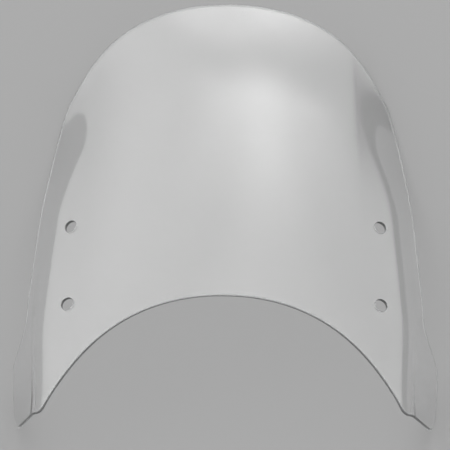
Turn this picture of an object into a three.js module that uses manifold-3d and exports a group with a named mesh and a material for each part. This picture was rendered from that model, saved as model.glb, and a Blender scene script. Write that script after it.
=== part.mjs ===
// Clear motorcycle windshield screen, lying on a flat surface with its crown up.
// Millimetres, +Z up, +X across the screen, +Y towards the screen's top edge.
// The origin is the middle of the footprint, on the surface that the screen rests on.
//
// The screen is one sheet. A point of it is named by its developed place (s, h): s is the
// distance from the centreline measured round the sheet, and h is the distance from the
// bottom edge of the side flanks towards the top edge. surfacePoint turns (s, h) into space.

import * as THREE from 'three';
import { mergeVertices } from 'three/addons/utils/BufferGeometryUtils.js';
import Module from 'manifold-3d';

// ---- Driving dimensions -----------------------------------------------------------------

const SHEET = 3.0; // thickness of the acrylic

// The crown line is the sheet's highest line, over s = 0.
const CROWN_HEIGHT = 130; // its height at the middle of the arch
const CROWN_RAKE = 13.9; // degrees that it falls towards the top edge

// Each cross-section is an arc, a short straight, a rounded fold and a straight flank.
const ARCH_RADIUS = 290; // radius of the arc at the middle of the arch
const SHOULDER_RADIUS = 215; // radius of the arc at the shoulders
const ARC_END = 138; // s where the arc ends
const FOLD_ANGLE = 50.5; // degrees that the fold turns the flank at the bottom edge
const FOLD_GONE = 365; // h where the fold has faded out
const FOLD_FADE_POWER = 1.3; // over 1, so that the fold fades out softly
const FOLD_HALF_WIDTH = 18;
// The fold's s, from the bottom up, and the stretches of h over which it moves.
const FOLD_PLACE = { bottom: 172, low: 181, high: 152 };
const FOLD_SPREAD = { from: 0, to: 100 };
const FOLD_DRIFT = { from: 200, to: 335 };

// The top edge flares up in a shallow lip, which runs along the edge.
const LIP = { start: 320, arcRadius: 275, width: 103, rise: 8.3 };

// The outline of one half, as (s, h).
const ARCH_APEX = [0, 98];
const FLANK_KINK = [166, -6]; // where the arch turns into the flank's bottom edge
const TAB_CORNER = [283, 1];
const TAB_CORNER_CUT = 20;
const TAB_TOP = [255, 57];
const SIDE_START = [212, 114];
const SHOULDER = [180, 335];
const FOLD_END = [164.5, 358.5];
const TOP_APEX = [0, 424];

// Fixing holes in each half, with a shallow flat seat round each for a washer.
const HOLE_PLACES = { lower: [150, 101], upper: [156, 186] };
const HOLE_DIAMETER = 12.7;
const SEAT_DIAMETER = 23;
const SEAT_DEPTH = 0.35;

// ---- The sheet's outer surface ----------------------------------------------------------

const { degToRad, lerp, smoothstep } = THREE.MathUtils;

function arcCurvature(h) {
  const along = (h - ARCH_APEX[1]) / (SHOULDER[1] - ARCH_APEX[1]);
  return lerp(1 / ARCH_RADIUS, 1 / SHOULDER_RADIUS, along);
}

function foldPlace(h) {
  const { bottom, low, high } = FOLD_PLACE;
  const spread = lerp(bottom, low, smoothstep(h, FOLD_SPREAD.from, FOLD_SPREAD.to));
  return lerp(spread, high, smoothstep(h, FOLD_DRIFT.from, FOLD_DRIFT.to));
}

function foldFade(h) {
  return Math.max(1 - h / FOLD_GONE, 0) ** FOLD_FADE_POWER;
}

// How steeply the cross-section falls away from the crown, in radians, at s.
function sideSlope(s, h) {
  const fold = foldPlace(h);
  const turned = smoothstep(s, fold - FOLD_HALF_WIDTH, fold + FOLD_HALF_WIDTH);
  return arcCurvature(h) * Math.min(s, ARC_END) + degToRad(FOLD_ANGLE) * foldFade(h) * turned;
}

function lipRise(s, h) {
  const edgeward = h - LIP.start + (s * s) / (2 * LIP.arcRadius);
  return LIP.rise * (Math.max(edgeward, 0) / LIP.width) ** 2;
}

function surfacePoint(s, h) {
  const across = Math.abs(s);
  const steps = 80;
  const step = across / steps;
  let x = 0;
  let fall = 0;
  for (let i = 0; i < steps; i += 1) {
    const slope = sideSlope((i + 0.5) * step, h);
    x += Math.cos(slope) * step;
    fall += Math.sin(slope) * step;
  }
  const crown = CROWN_HEIGHT - Math.tan(degToRad(CROWN_RAKE)) * (h - ARCH_APEX[1]);
  return new THREE.Vector3(Math.sign(s) * x, h, crown - fall + lipRise(s, h));
}

function surfaceNormal(s, h) {
  const reach = 0.5;
  const acrossSheet = surfacePoint(s + reach, h).sub(surfacePoint(s - reach, h));
  const alongSheet = surfacePoint(s, h + reach).sub(surfacePoint(s, h - reach));
  return acrossSheet.cross(alongSheet).normalize();
}

// ---- The outline and the fold line of one half ------------------------------------------

const place = ([s, h]) => new THREE.Vector2(s, h);

function line(from, to) {
  return new THREE.LineCurve(place(from), place(to));
}

function bend(from, leaving, arriving, to) {
  return new THREE.CubicBezierCurve(place(from), place(leaving), place(arriving), place(to));
}

function chain(...curves) {
  const path = new THREE.CurvePath();
  curves.forEach((curve) => path.add(curve));
  return path;
}

// The tab's rounded corner, cut in two at its middle, where two sides of the flank meet.
function tabCorner() {
  const corner = place(TAB_CORNER);
  const towards = (end) => corner.clone()
    .add(place(end).sub(corner).normalize().multiplyScalar(TAB_CORNER_CUT));
  const start = towards(FLANK_KINK);
  const end = towards(TAB_TOP);
  const before = start.clone().lerp(corner, 0.5);
  const after = end.clone().lerp(corner, 0.5);
  const middle = before.clone().lerp(after, 0.5);
  return {
    start,
    end,
    first: new THREE.QuadraticBezierCurve(start, before, middle),
    second: new THREE.QuadraticBezierCurve(middle, after, end),
  };
}

const corner = tabCorner();
const middleSide = line(ARCH_APEX, TOP_APEX);
const archSide = bend(ARCH_APEX, [86, 98], [137, 53], FLANK_KINK);
const foldLine = chain(
  bend(FLANK_KINK, [FOLD_PLACE.bottom, 25], [FOLD_PLACE.low, 62],
    [FOLD_PLACE.low, FOLD_SPREAD.to]),
  line([FOLD_PLACE.low, FOLD_SPREAD.to], [FOLD_PLACE.low, FOLD_DRIFT.from]),
  bend([FOLD_PLACE.low, FOLD_DRIFT.from], [FOLD_PLACE.low, 245],
    [FOLD_PLACE.high, 290], [FOLD_PLACE.high, FOLD_DRIFT.to]),
  bend([FOLD_PLACE.high, FOLD_DRIFT.to], [FOLD_PLACE.high, 345], [158, 352], FOLD_END),
);
const crownSide = bend(TOP_APEX, [84.5, 424.5], [141, 398.5], FOLD_END);
const bottomSide = chain(new THREE.LineCurve(place(FLANK_KINK), corner.start), corner.first);
const outerSide = chain(
  corner.second,
  new THREE.LineCurve(corner.end, place(TAB_TOP)),
  bend(TAB_TOP, [222.5, 79], [206.5, 86], SIDE_START),
  bend(SIDE_START, [201, 184], [204, 272], SHOULDER),
);
const shoulderSide = line(FOLD_END, SHOULDER);

// ---- The grid of one half ---------------------------------------------------------------

// Cells gather at the fold and at the tab. Each band is a number of cells, and the part of
// the side's length at which they end.
const PANEL_COLUMNS = [[10, 0.9], [4, 1]];
const FLANK_COLUMNS = [[4, 0.18], [3, 1]];
const EVEN_ROWS = [[27, 1]];
const FOLD_ROWS = [[13, 0.36], [14, 1]];
const OUTER_ROWS = [[13, 0.34], [14, 1]];

function stops(bands) {
  const parts = [0];
  for (const [cells, end] of bands) {
    const start = parts.at(-1);
    for (let i = 1; i <= cells; i += 1) parts.push(lerp(start, end, i / cells));
  }
  return parts;
}

// A Coons patch: columns of developed places inside four sides that meet at their ends.
function patch({ low, high, near, far }, columnBands, nearRows, farRows) {
  const nearStops = stops(nearRows);
  const farStops = stops(farRows);
  return stops(columnBands).map((u) => nearStops.map((nearStop, row) => {
    const farStop = farStops[row];
    const v = lerp(nearStop, farStop, u);
    const acrossRows = low.getPointAt(u).lerp(high.getPointAt(u), v);
    const acrossColumns = near.getPointAt(nearStop).lerp(far.getPointAt(farStop), u);
    const bilinear = low.getPointAt(0).lerp(low.getPointAt(1), u)
      .lerp(high.getPointAt(0).lerp(high.getPointAt(1), u), v);
    return acrossRows.add(acrossColumns).sub(bilinear);
  }));
}

function halfGrid() {
  const panelSides = { low: archSide, high: crownSide, near: middleSide, far: foldLine };
  const flankSides = { low: bottomSide, high: shoulderSide, near: foldLine, far: outerSide };
  const panel = patch(panelSides, PANEL_COLUMNS, EVEN_ROWS, FOLD_ROWS);
  const flank = patch(flankSides, FLANK_COLUMNS, FOLD_ROWS, OUTER_ROWS);
  return [...panel, ...flank.slice(1)];
}

// ---- The solid --------------------------------------------------------------------------

function sheetGeometry() {
  const half = halfGrid();
  const mirrored = half.slice(1).reverse()
    .map((column) => column.map((at) => new THREE.Vector2(-at.x, at.y)));
  const grid = [...mirrored, ...half];
  const rows = grid[0].length;
  const outer = [];
  const inner = [];
  for (const at of grid.flat()) {
    const point = surfacePoint(at.x, at.y);
    outer.push(...point.toArray());
    inner.push(...point.addScaledVector(surfaceNormal(at.x, at.y), -SHEET).toArray());
  }
  const innerStart = outer.length / 3;
  const index = (c, r) => c * rows + r;
  const faces = [];
  const addQuad = (a, b, c, d) => faces.push(a, b, c, a, c, d);

  for (let c = 0; c < grid.length - 1; c += 1) {
    for (let r = 0; r < rows - 1; r += 1) {
      const quad = [index(c, r), index(c + 1, r), index(c + 1, r + 1), index(c, r + 1)];
      // The quads of the second half are cut along the mirrored diagonal.
      const [a, b, d, e] = c < mirrored.length ? quad : [...quad.slice(1), quad[0]];
      addQuad(a, b, d, e);
      faces.push(...[a, d, b, a, e, d].map((i) => i + innerStart));
    }
  }
  // The rim joins the outer face to the inner one, anticlockwise seen from outside.
  const lastColumn = grid.length - 1;
  const loop = [];
  for (let c = 0; c < lastColumn; c += 1) loop.push(index(c, 0));
  for (let r = 0; r < rows - 1; r += 1) loop.push(index(lastColumn, r));
  for (let c = lastColumn; c > 0; c -= 1) loop.push(index(c, rows - 1));
  for (let r = rows - 1; r > 0; r -= 1) loop.push(index(0, r));
  loop.forEach((from, i) => {
    const to = loop[(i + 1) % loop.length];
    addQuad(from, from + innerStart, to + innerStart, to);
  });

  const geometry = new THREE.BufferGeometry();
  geometry.setAttribute('position', new THREE.Float32BufferAttribute([...outer, ...inner], 3));
  geometry.setIndex(faces);
  return geometry;
}

// A round cutter square to the sheet at a developed place, starting at a depth in the sheet.
function cutter([s, h], diameter, depth) {
  const length = 12;
  const normal = surfaceNormal(s, h);
  const geometry = new THREE.CylinderGeometry(diameter / 2, diameter / 2, length, 32);
  geometry.translate(0, length / 2 - depth, 0);
  geometry.applyQuaternion(
    new THREE.Quaternion().setFromUnitVectors(new THREE.Vector3(0, 1, 0), normal),
  );
  const centre = surfacePoint(s, h);
  geometry.translate(centre.x, centre.y, centre.z);
  return geometry;
}

const wasm = await Module();
wasm.setup();

function toSolid(geometry) {
  const bare = geometry.clone();
  bare.deleteAttribute('normal');
  bare.deleteAttribute('uv');
  const merged = mergeVertices(bare, 1e-4);
  return new wasm.Manifold(new wasm.Mesh({
    numProp: 3,
    vertProperties: new Float32Array(merged.attributes.position.array),
    triVerts: new Uint32Array(merged.index.array),
  }));
}

function toGeometry(solid) {
  const mesh = solid.getMesh();
  const geometry = new THREE.BufferGeometry();
  geometry.setAttribute('position', new THREE.BufferAttribute(mesh.vertProperties, 3));
  geometry.setIndex(new THREE.BufferAttribute(mesh.triVerts, 1));
  return geometry;
}

function drilledSheet() {
  let solid = toSolid(sheetGeometry());
  for (const [s, h] of Object.values(HOLE_PLACES)) {
    for (const side of [-1, 1]) {
      const at = [side * s, h];
      const seat = toSolid(cutter(at, SEAT_DIAMETER, SEAT_DEPTH));
      const hole = toSolid(cutter(at, HOLE_DIAMETER, 2 * SHEET));
      solid = solid.subtract(seat).subtract(hole);
    }
  }
  return toGeometry(solid);
}

// ---- The model --------------------------------------------------------------------------

const clearAcrylic = new THREE.MeshStandardMaterial({
  color: 0xd6dadb,
  roughness: 0.05,
  metalness: 0,
  transparent: true,
  opacity: 0.35,
});

const geometry = drilledSheet();
geometry.computeBoundingBox();
const footprint = geometry.boundingBox.getCenter(new THREE.Vector3());
geometry.computeVertexNormals();

const screenPanel = new THREE.Mesh(geometry, clearAcrylic);
screenPanel.name = 'screen_panel';

const group = new THREE.Group();
group.add(screenPanel);
group.position.set(-footprint.x, -footprint.y, -geometry.boundingBox.min.z);

export default group;
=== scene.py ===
"""A clear motorcycle windshield screen, lying crown up on a pale studio table.

Metres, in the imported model's frame: +Z up, +X across the screen, +Y towards its top edge.

The screen is one bent sheet. A point of it is named by its developed place (s, h): s is the
distance from the centreline measured round the sheet, and h is the distance from the bottom
edge of the side flanks towards the top edge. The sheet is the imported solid's own shape, made
finer, with round edges.
"""

import math

import bpy
import numpy as np
from mathutils import Matrix, Vector
from mathutils.geometry import delaunay_2d_cdt
from mathutils.kdtree import KDTree


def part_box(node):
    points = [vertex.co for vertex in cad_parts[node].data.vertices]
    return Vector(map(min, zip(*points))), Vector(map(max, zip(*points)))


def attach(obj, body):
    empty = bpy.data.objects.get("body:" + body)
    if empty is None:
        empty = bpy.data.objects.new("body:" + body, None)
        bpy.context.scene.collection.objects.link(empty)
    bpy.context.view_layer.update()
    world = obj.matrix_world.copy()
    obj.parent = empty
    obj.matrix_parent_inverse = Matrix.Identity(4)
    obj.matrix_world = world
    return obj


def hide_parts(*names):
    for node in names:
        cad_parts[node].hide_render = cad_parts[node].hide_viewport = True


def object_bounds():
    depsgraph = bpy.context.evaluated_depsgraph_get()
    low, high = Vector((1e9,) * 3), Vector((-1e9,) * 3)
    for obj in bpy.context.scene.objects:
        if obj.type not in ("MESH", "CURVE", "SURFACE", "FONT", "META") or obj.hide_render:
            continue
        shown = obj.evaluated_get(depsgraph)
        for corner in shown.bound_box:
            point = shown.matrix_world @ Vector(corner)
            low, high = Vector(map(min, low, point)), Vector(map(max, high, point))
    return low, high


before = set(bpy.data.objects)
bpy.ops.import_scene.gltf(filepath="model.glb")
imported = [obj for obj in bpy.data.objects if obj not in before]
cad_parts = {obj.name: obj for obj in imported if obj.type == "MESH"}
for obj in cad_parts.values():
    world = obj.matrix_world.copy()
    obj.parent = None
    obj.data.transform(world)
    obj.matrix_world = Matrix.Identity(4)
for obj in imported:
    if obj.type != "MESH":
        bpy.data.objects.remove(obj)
cad_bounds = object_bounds()

# ---- The screen's driving dimensions -----------------------------------------------------

SHEET = 0.003  # thickness of the acrylic

# The crown line is the sheet's highest line, over s = 0.
CROWN_HEIGHT = 0.130  # its height at the middle of the arch
CROWN_RAKE = math.radians(13.9)  # its fall towards the top edge

# Each cross-section is an arc, a short straight, a rounded fold and a straight flank.
ARCH_RADIUS = 0.290  # radius of the arc at the middle of the arch
SHOULDER_RADIUS = 0.215  # radius of the arc at the shoulders
ARC_END = 0.138  # s where the arc ends
FOLD_ANGLE = math.radians(50.5)  # turn of the fold at the bottom edge
FOLD_GONE = 0.365  # h where the fold has faded out
FOLD_FADE_POWER = 1.3
FOLD_BOTTOM, FOLD_LOW, FOLD_HIGH = 0.172, 0.181, 0.152  # s of the fold, from the bottom up
FOLD_SPREAD = (0.0, 0.100)  # the stretch of h over which it moves out to the second place
FOLD_DRIFT = (0.200, 0.335)  # and the stretch over which it moves in to the third
FOLD_HALF_WIDTH = 0.018

# The top edge flares up in a shallow lip, which runs along the edge.
LIP_START = 0.320
LIP_ARC_RADIUS = 0.275
LIP_WIDTH = 0.103
LIP_RISE = 0.0083

# The outline of one half, as (s, h).
ARCH_APEX = (0.0, 0.098)
FLANK_KINK = (0.166, -0.006)  # where the arch turns into the flank's bottom edge
TAB_CORNER = (0.283, 0.001)
TAB_CORNER_CUT = 0.020
TAB_TOP = (0.255, 0.057)
SIDE_START = (0.212, 0.114)
SHOULDER = (0.180, 0.335)
FOLD_END = (0.1645, 0.3585)
TOP_APEX = (0.0, 0.424)

# Handles of the curves between those places.
ARCH_HANDLES = ((0.086, 0.098), (0.137, 0.053))
TAB_HANDLES = ((0.2225, 0.079), (0.2065, 0.086))
SIDE_HANDLES = ((0.201, 0.184), (0.204, 0.272))
TOP_HANDLES = ((0.141, 0.3985), (0.0845, 0.4245))

HOLE_PLACES = ((0.150, 0.101), (0.156, 0.186))
HOLE_RADIUS = 0.00635

# ---- How finely the sheet is made --------------------------------------------------------

SLOPE_STEPS = 80  # steps over which a cross-section's slope is added up
NORMAL_REACH = 0.0005  # how far each way the surface is compared to find its normal
CURVE_POINTS = 200
RIM_ROUND = 0.0014  # radius to which the outline's edge is rounded
HOLE_ROUND = 0.0005
RIM_TURNS = 3  # facets in each rounded quarter of an edge
RIM_STEP = 0.002  # spacing of points along the outline
HOLE_POINTS = 64
OUTLINE_SMOOTHING = 3  # points each way over which the outline is averaged
ROW_STEP = 0.004  # spacing of the rows of points inside the outline
ROW_COLUMNS = (0, 36, 64, 104)  # column numbers at the centreline, round the fold and beyond
FOLD_MARGIN = 0.020  # finer columns reach this far each side of the fold
FLANK_REACH = 0.150
CLEAR_OF_EDGE = 0.0022  # least distance of an inside point from the outline
SAME_POINT = 1e-9  # points closer than this are joined

# ---- Colour, gloss and haze --------------------------------------------------------------

ACRYLIC_IOR = 1.49
SHEET_COLOUR = (0.97, 0.972, 0.972, 1)
SHEET_ROUGHNESS = (0.03, 0.07)  # from the clearest to the haziest parts
HAZE_NOISE = (0.35, 0.75)  # the noise values that those stand for
SHEET_PASSES = 0.96  # share of square-on light that each face of the sheet lets through

EDGE_COLOUR = (0.62, 0.63, 0.63, 1)
EDGE_TRANSMISSION = 0.8  # the rest of an edge scatters light
EDGE_ROUGHNESS = 0.12
EDGE_PASSES = 0.9

SLANT_POWER = 5  # a high power keeps faces clear until light meets them at a steep slant

# ---- Where it is seen from ---------------------------------------------------------------

CAMERA_ANGLES = (3.3, 70.5, -2.9)  # azimuth, elevation and roll, in degrees
CAMERA_AIM = (-0.0003, -0.0205, 0.056)  # from the middle of the screen's length
CAMERA_DISTANCE = 1.5
SENSOR_WIDTH = 36  # in millimetres
LENS = 126.5  # focal length in millimetres

# ---- The studio --------------------------------------------------------------------------

# Broad soft lights of the tent round the table: heading from +Y towards +X, height, tilt,
# half width and half height, all in degrees, and brightness. A gap in the tent is a light
# with a brightness under 0.
TENT_LIGHTS = {
    "ceiling": (3, 60, -20, 80, 8, 5.3),
    "back_left_wall": (-26, 26, 6, 58, 30, 3.1),
    "back_left_strip": (-38, 45, 25, 50, 5, 2.8),
    "crown_lamp": (5, 37, -7, 16, 4, 2.6),
    "back_right_lamp": (28, 27, -45, 19, 5, 3.3),
    "right_gap": (56, -2, -22, 5, 5, -30),
    "floor_gap": (54, -7, 0, 25, 5, -3),
    "front_wall": (180, 30, 0, 80, 45, 0.7),
}
TENT_FILL = 0.1
BACKDROP = 0.36  # grey that the camera sees past the table

TABLE_REACH = 4.0  # how far the table runs to the left, the front and the back
TABLE_RIGHT_EDGE = 0.6
TABLE_COLOUR = (0.286, 0.286, 0.286, 1)


# ---- The sheet's outer surface -----------------------------------------------------------

def lerp(a, b, t):
    return a + (b - a) * t


def smoothstep(value, low, high):
    t = np.clip((value - low) / (high - low), 0, 1)
    return t * t * (3 - 2 * t)


def fold_place(h):
    low = lerp(FOLD_BOTTOM, FOLD_LOW, smoothstep(h, *FOLD_SPREAD))
    return lerp(low, FOLD_HIGH, smoothstep(h, *FOLD_DRIFT))


def side_slope(s, h):
    """How steeply the cross-section falls away from the crown, in radians."""
    along = (h - ARCH_APEX[1]) / (SHOULDER[1] - ARCH_APEX[1])
    curvature = lerp(1 / ARCH_RADIUS, 1 / SHOULDER_RADIUS, along)
    fold = fold_place(h)
    fade = np.clip(1 - h / FOLD_GONE, 0, None) ** FOLD_FADE_POWER
    turned = smoothstep(s, fold - FOLD_HALF_WIDTH, fold + FOLD_HALF_WIDTH)
    return curvature * np.minimum(s, ARC_END) + FOLD_ANGLE * fade * turned


def surface(places):
    """Points of the outer face at an (n, 2) array of places."""
    s, h = places[:, 0], places[:, 1]
    step = np.abs(s) / SLOPE_STEPS
    stations = step[:, None] * (np.arange(SLOPE_STEPS) + 0.5)
    slope = side_slope(stations, h[:, None])
    x = np.sign(s) * np.cos(slope).sum(axis=1) * step
    fall = np.sin(slope).sum(axis=1) * step
    crown = CROWN_HEIGHT - math.tan(CROWN_RAKE) * (h - ARCH_APEX[1])
    edgeward = np.clip(h - LIP_START + s**2 / (2 * LIP_ARC_RADIUS), 0, None)
    return np.column_stack([x, h, crown - fall + LIP_RISE * (edgeward / LIP_WIDTH) ** 2])


def unit(vectors):
    return vectors / np.linalg.norm(vectors, axis=1, keepdims=True)


def surface_normals(places):
    sideways = (NORMAL_REACH, 0)
    upwards = (0, NORMAL_REACH)
    across = surface(places + sideways) - surface(places - sideways)
    along = surface(places + upwards) - surface(places - upwards)
    return unit(np.cross(across, along))


# ---- The outline and the points inside it ------------------------------------------------

def bezier(*points):
    """A line, or a quadratic or cubic curve, as closely spaced places."""
    t = np.linspace(0, 1, CURVE_POINTS)[:, None]
    degree = len(points) - 1
    return sum(
        math.comb(degree, i) * (1 - t) ** (degree - i) * t**i * np.array(point)
        for i, point in enumerate(points)
    )


def outline():
    """The sheet's outline, anticlockwise, evenly spaced and eased at its corners."""
    corner = np.array(TAB_CORNER)
    before = corner + unit(np.array([FLANK_KINK]) - corner)[0] * TAB_CORNER_CUT
    after = corner + unit(np.array([TAB_TOP]) - corner)[0] * TAB_CORNER_CUT
    half = np.concatenate([
        bezier(ARCH_APEX, *ARCH_HANDLES, FLANK_KINK),
        bezier(FLANK_KINK, before),
        bezier(before, corner, after),
        bezier(after, TAB_TOP),
        bezier(TAB_TOP, *TAB_HANDLES, SIDE_START),
        bezier(SIDE_START, *SIDE_HANDLES, SHOULDER),
        bezier(SHOULDER, FOLD_END),
        bezier(FOLD_END, *TOP_HANDLES, TOP_APEX),
    ])
    loop = np.concatenate([half, half[::-1] * (-1, 1)])
    travelled = np.append(0, np.cumsum(np.linalg.norm(np.diff(loop, axis=0), axis=1)))
    count = 2 * round(travelled[-1] / RIM_STEP / 2)
    stops = np.arange(count) * travelled[-1] / count
    even = np.column_stack([np.interp(stops, travelled, loop[:, axis]) for axis in (0, 1)])
    shifts = range(-OUTLINE_SMOOTHING, OUTLINE_SMOOTHING + 1)
    return sum(np.roll(even, shift, axis=0) for shift in shifts) / len(shifts)


def hole_edge(s, h):
    """A hole's edge, clockwise, so that the sheet is on its left as it is on the outline's."""
    turn = -np.arange(HOLE_POINTS) * 2 * math.pi / HOLE_POINTS
    across = s + HOLE_RADIUS * np.cos(turn)
    along = h + HOLE_RADIUS * np.sin(turn) * math.cos(CROWN_RAKE)
    return np.column_stack([across, along])


def inward(loop):
    """Unit directions from a loop's points into the sheet."""
    ahead = unit(np.roll(loop, -1, axis=0) - np.roll(loop, 1, axis=0))
    return np.column_stack([-ahead[:, 1], ahead[:, 0]])


def inside(places, loop):
    """Which places lie inside a closed loop."""
    x, y = places[:, :1], places[:, 1:]
    x0, y0 = loop[:, 0], loop[:, 1]
    x1, y1 = np.roll(x0, -1), np.roll(y0, -1)
    spans = (y0 > y) != (y1 > y)
    rise = np.where(y1 == y0, 1, y1 - y0)
    crossings = spans & (x < x0 + (y - y0) * (x1 - x0) / rise)
    return crossings.sum(axis=1) % 2 == 1


def inner_places(loops):
    """Rows of places inside the outline and clear of the holes, closer together at the fold."""
    rows = []
    for number, h in enumerate(np.arange(loops[0][:, 1].min(), loops[0][:, 1].max(), ROW_STEP)):
        column = np.arange(ROW_COLUMNS[-1]) + 0.5 * (number % 2)
        fold = float(fold_place(h))
        bands = (0, fold - FOLD_MARGIN, fold + FOLD_MARGIN, fold + FLANK_REACH)
        s = np.interp(column, ROW_COLUMNS, bands)
        s = np.concatenate([-s[s > 0], s])
        rows.append(np.column_stack([s, np.full(len(s), h)]))
    places = np.concatenate(rows)
    places = places[inside(places, loops[0])]
    for hole in loops[1:]:
        places = places[~inside(places, hole)]
    edge = np.concatenate(loops)
    tree = KDTree(len(edge))
    for i, (s, h) in enumerate(edge):
        tree.insert((s, h, 0), i)
    tree.balance()
    clear = [tree.find((s, h, 0))[2] > CLEAR_OF_EDGE for s, h in places]
    return places[clear]


def triangles(loops, places):
    """Triangles of the face inside the outline and outside the holes."""
    edges = []
    start = 0
    for loop in loops:
        ring = range(start, start + len(loop))
        edges += [(i, start + (i + 1 - start) % len(loop)) for i in ring]
        start += len(loop)
    flat = [Vector(place) for place in places]
    every_triangle = 0
    _, _, faces, source, _, _ = delaunay_2d_cdt(flat, edges, [], every_triangle, SAME_POINT)
    faces = np.array([[source[i][0] for i in face] for face in faces])
    middles = places[faces].mean(axis=1)
    kept = inside(middles, loops[0])
    for hole in loops[1:]:
        kept &= ~inside(middles, hole)
    return faces[kept]


# ---- The sheet ---------------------------------------------------------------------------

def rim_profile(rounding):
    """Each ring of an edge, as its distance in from the edge, its depth and its tilt."""
    tilts = np.linspace(0, math.pi / 2, RIM_TURNS + 1)
    upper = [(rounding * (1 - math.sin(t)), rounding * (1 - math.cos(t)), t) for t in tilts]
    lower = [(set_in, SHEET - depth, math.pi - t) for set_in, depth, t in reversed(upper)]
    return upper + lower


def sheet_mesh():
    edges = [outline()]
    edges += [hole_edge(side * s, h) for s, h in HOLE_PLACES for side in (-1, 1)]
    roundings = [RIM_ROUND] + [HOLE_ROUND] * (len(edges) - 1)
    loops = [edge + inward(edge) * rounding for edge, rounding in zip(edges, roundings)]
    places = np.concatenate([*loops, inner_places(loops)])
    front = triangles(loops, places)

    normals = surface_normals(places)
    outer = surface(places)
    points = [outer, outer - normals * SHEET]
    directions = [normals, -normals]
    faces = [*front.tolist(), *(front[:, ::-1] + len(places)).tolist()]
    face_count = len(faces)

    first = 0
    total = 2 * len(places)
    for edge, rounding in zip(edges, roundings):
        count = len(edge)
        into = inward(edge)
        normal = surface_normals(edge)
        into_sheet = unit(surface(edge + into * rounding) - surface(edge))
        profile = rim_profile(rounding)
        rings = [np.arange(count) + first]
        for set_in, depth, tilt in profile[1:-1]:
            points.append(surface(edge + into * set_in) - normal * depth)
            directions.append(normal * math.cos(tilt) - into_sheet * math.sin(tilt))
            rings.append(np.arange(count) + total)
            total += count
        rings.append(np.arange(count) + first + len(places))
        for above, below in zip(rings, rings[1:]):
            quads = [above, below, np.roll(below, -1), np.roll(above, -1)]
            faces += np.column_stack(quads).tolist()
        first += count

    points = np.concatenate(points)
    low, high = points.min(axis=0), points.max(axis=0)
    cad_low, cad_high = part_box("screen_panel")
    foot = (Vector(cad_low) + Vector(cad_high)) / 2
    points += (foot.x, foot.y, cad_low.z) - np.array([*((low + high) / 2)[:2], low[2]])

    mesh = bpy.data.meshes.new("screen_sheet")
    mesh.from_pydata(points.tolist(), [], faces)
    mesh.polygons.foreach_set("use_smooth", [True] * len(faces))
    mesh.polygons.foreach_set("material_index", [int(i >= face_count) for i in range(len(faces))])
    mesh.normals_split_custom_set_from_vertices(unit(np.concatenate(directions)).tolist())
    mesh.validate()
    return mesh


# ---- Materials ---------------------------------------------------------------------------

def new_material(name):
    material = bpy.data.materials.new(name)
    material.use_nodes = True
    material.node_tree.nodes.clear()
    return material, material.node_tree


def add(tree, kind, **values):
    """A node, with plain values for its settings and its inputs."""
    node = tree.nodes.new("ShaderNode" + kind)
    for name, value in values.items():
        if name in node.inputs:
            node.inputs[name].default_value = value
        else:
            setattr(node, name, value)
    return node


def math_node(tree, operation, *values):
    """A math node, whose values are numbers or other nodes' outputs."""
    node = add(tree, "Math", operation=operation)
    for socket, value in zip(node.inputs, values):
        if isinstance(value, (int, float)):
            socket.default_value = value
        else:
            tree.links.new(value, socket)
    return node.outputs[0]


def shader_for_light_rays(tree, seen, passed):
    """Lamps and the table's bounced light reach through the sheet; other rays meet the glass.

    Each face lets through less of the light that meets it at a slant, as acrylic does.
    """
    path = add(tree, "LightPath")
    slant = add(tree, "LayerWeight", Blend=0.5).outputs["Facing"]
    through = add(tree, "MapRange")
    through.inputs["To Min"].default_value = passed
    through.inputs["To Max"].default_value = 0.0
    tree.links.new(math_node(tree, "POWER", slant, SLANT_POWER), through.inputs["Value"])
    clear = add(tree, "BsdfTransparent")
    tree.links.new(through.outputs[0], clear.inputs["Color"])
    bounced = add(tree, "MixShader")
    lamp = add(tree, "MixShader")
    output = add(tree, "OutputMaterial")
    link = tree.links.new
    link(path.outputs["Is Diffuse Ray"], bounced.inputs[0])
    link(seen, bounced.inputs[1])
    link(clear.outputs[0], bounced.inputs[2])
    link(path.outputs["Is Shadow Ray"], lamp.inputs[0])
    link(bounced.outputs[0], lamp.inputs[1])
    link(clear.outputs[0], lamp.inputs[2])
    link(lamp.outputs[0], output.inputs["Surface"])


def clear_acrylic():
    material, tree = new_material("clear_acrylic")
    link = tree.links.new
    place = add(tree, "TexCoord").outputs["Object"]

    haze = add(tree, "TexNoise", Scale=14.0, Detail=5.0, Roughness=0.6)
    link(place, haze.inputs["Vector"])
    rough = add(tree, "MapRange")
    rough.inputs["From Min"].default_value, rough.inputs["From Max"].default_value = HAZE_NOISE
    rough.inputs["To Min"].default_value, rough.inputs["To Max"].default_value = SHEET_ROUGHNESS
    link(haze.outputs["Fac"], rough.inputs["Value"])

    drawn = add(tree, "TexNoise", Scale=9.0, Detail=1.0)
    link(place, drawn.inputs["Vector"])
    bump = add(tree, "Bump", Strength=0.25, Distance=0.0006)
    link(drawn.outputs["Fac"], bump.inputs["Height"])

    shader = add(tree, "BsdfPrincipled", IOR=ACRYLIC_IOR)
    shader.inputs["Base Color"].default_value = SHEET_COLOUR
    shader.inputs["Transmission Weight"].default_value = 1.0
    link(rough.outputs[0], shader.inputs["Roughness"])
    link(bump.outputs["Normal"], shader.inputs["Normal"])
    shader_for_light_rays(tree, shader.outputs[0], SHEET_PASSES)
    return material


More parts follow.
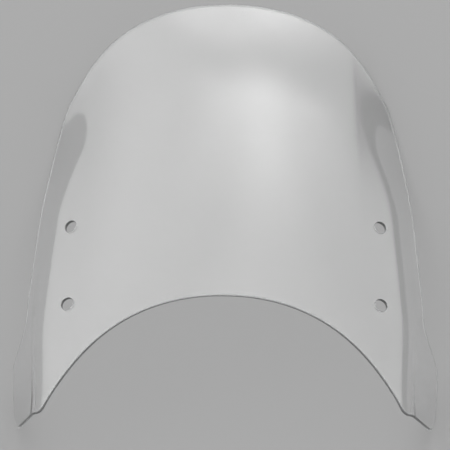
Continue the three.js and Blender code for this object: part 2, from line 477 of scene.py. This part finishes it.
def polished_edge():
    material, tree = new_material("polished_edge")
    link = tree.links.new
    place = add(tree, "TexCoord").outputs["Object"]
    marks = add(tree, "TexNoise", Scale=900.0, Detail=2.0)
    link(place, marks.inputs["Vector"])
    bump = add(tree, "Bump", Strength=0.3, Distance=0.00008)
    link(marks.outputs["Fac"], bump.inputs["Height"])
    shader = add(tree, "BsdfPrincipled", IOR=ACRYLIC_IOR, Roughness=EDGE_ROUGHNESS)
    shader.inputs["Base Color"].default_value = EDGE_COLOUR
    shader.inputs["Transmission Weight"].default_value = EDGE_TRANSMISSION
    link(bump.outputs["Normal"], shader.inputs["Normal"])
    shader_for_light_rays(tree, shader.outputs[0], EDGE_PASSES)
    return material


def table_surface():
    material, tree = new_material("studio_table")
    shader = add(tree, "BsdfPrincipled", Roughness=0.75)
    shader.inputs["Base Color"].default_value = TABLE_COLOUR
    shader.inputs["Specular IOR Level"].default_value = 0.2
    output = add(tree, "OutputMaterial")
    tree.links.new(shader.outputs[0], output.inputs["Surface"])
    return material


# ---- The scene ---------------------------------------------------------------------------

def add_object(name, data):
    made = bpy.data.objects.new(name, data)
    bpy.context.scene.collection.objects.link(made)
    return made


def add_camera():
    azimuth, elevation, roll = (math.radians(angle) for angle in CAMERA_ANGLES)
    centre = (cad_bounds[0] + cad_bounds[1]) / 2
    target = Vector((0, centre.y, 0)) + Vector(CAMERA_AIM)
    back = Vector((
        math.sin(azimuth) * math.cos(elevation),
        -math.cos(azimuth) * math.cos(elevation),
        math.sin(elevation),
    ))
    level = Vector((math.cos(azimuth), math.sin(azimuth), 0))
    upright = back.cross(level)
    right = level * math.cos(roll) + upright * math.sin(roll)
    up = upright * math.cos(roll) - level * math.sin(roll)
    data = bpy.data.cameras.new("camera")
    data.sensor_width = SENSOR_WIDTH
    data.lens = LENS
    camera = add_object("camera", data)
    camera.matrix_world = Matrix.Translation(target + back * CAMERA_DISTANCE) @ Matrix(
        (right, up, back)
    ).transposed().to_4x4()
    bpy.context.scene.camera = camera


def add_stage():
    table = bpy.data.meshes.new("table")
    left, right = -TABLE_REACH, TABLE_RIGHT_EDGE
    front, back = -TABLE_REACH, TABLE_REACH
    corners = [(left, front, 0), (right, front, 0), (right, back, 0), (left, back, 0)]
    table.from_pydata(corners, [], [(0, 1, 2, 3)])
    table.materials.append(table_surface())
    add_object("table", table)


def soft_light(tree, looking, total, heading, height, tilt, half_width, half_height, brightness):
    """Adds one soft oval light to the tent's brightness in the direction looked in."""
    heading, height, tilt, half_width, half_height = (
        math.radians(angle) for angle in (heading, height, tilt, half_width, half_height)
    )
    level = Vector((math.cos(heading), -math.sin(heading), 0))
    upright = Vector((0, 0, 1)) * math.cos(height) - math.sin(height) * Vector(
        (math.sin(heading), math.cos(heading), 0)
    )
    offsets = []
    for axis in (
        (level * math.cos(tilt) + upright * math.sin(tilt)) / math.sin(half_width),
        (upright * math.cos(tilt) - level * math.sin(tilt)) / math.sin(half_height),
    ):
        offset = add(tree, "VectorMath", operation="DOT_PRODUCT")
        tree.links.new(looking, offset.inputs[0])
        offset.inputs[1].default_value = axis
        offsets.append(offset.outputs["Value"])
    across, along = offsets
    away = math_node(tree, "MULTIPLY_ADD", across, across, math_node(tree, "POWER", along, 2))
    glow = math_node(tree, "EXPONENT", math_node(tree, "MULTIPLY", away, -1))
    return math_node(tree, "MULTIPLY_ADD", glow, brightness, total)


def add_light_tent():
    world = bpy.data.worlds.new("light_tent")
    world.use_nodes = True
    tree = world.node_tree
    tree.nodes.clear()
    looking = add(tree, "TexCoord").outputs["Generated"]
    total = TENT_FILL
    for light in TENT_LIGHTS.values():
        total = soft_light(tree, looking, total, *light)
    total = math_node(tree, "MAXIMUM", total, 0)
    tent = add(tree, "Background")
    backdrop = add(tree, "Background", Color=(BACKDROP, BACKDROP, BACKDROP, 1))
    mix = add(tree, "MixShader")
    output = add(tree, "OutputWorld")
    link = tree.links.new
    link(total, tent.inputs["Strength"])
    link(add(tree, "LightPath").outputs["Is Camera Ray"], mix.inputs[0])
    link(tent.outputs[0], mix.inputs[1])
    link(backdrop.outputs[0], mix.inputs[2])
    link(mix.outputs[0], output.inputs["Surface"])
    bpy.context.scene.world = world


bpy.context.scene.view_settings.view_transform = "Standard"
add_camera()
add_stage()
add_light_tent()
screen = add_object("windshield_screen", sheet_mesh())
screen.data.materials.append(clear_acrylic())
screen.data.materials.append(polished_edge())
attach(screen, "root")
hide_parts("screen_panel")
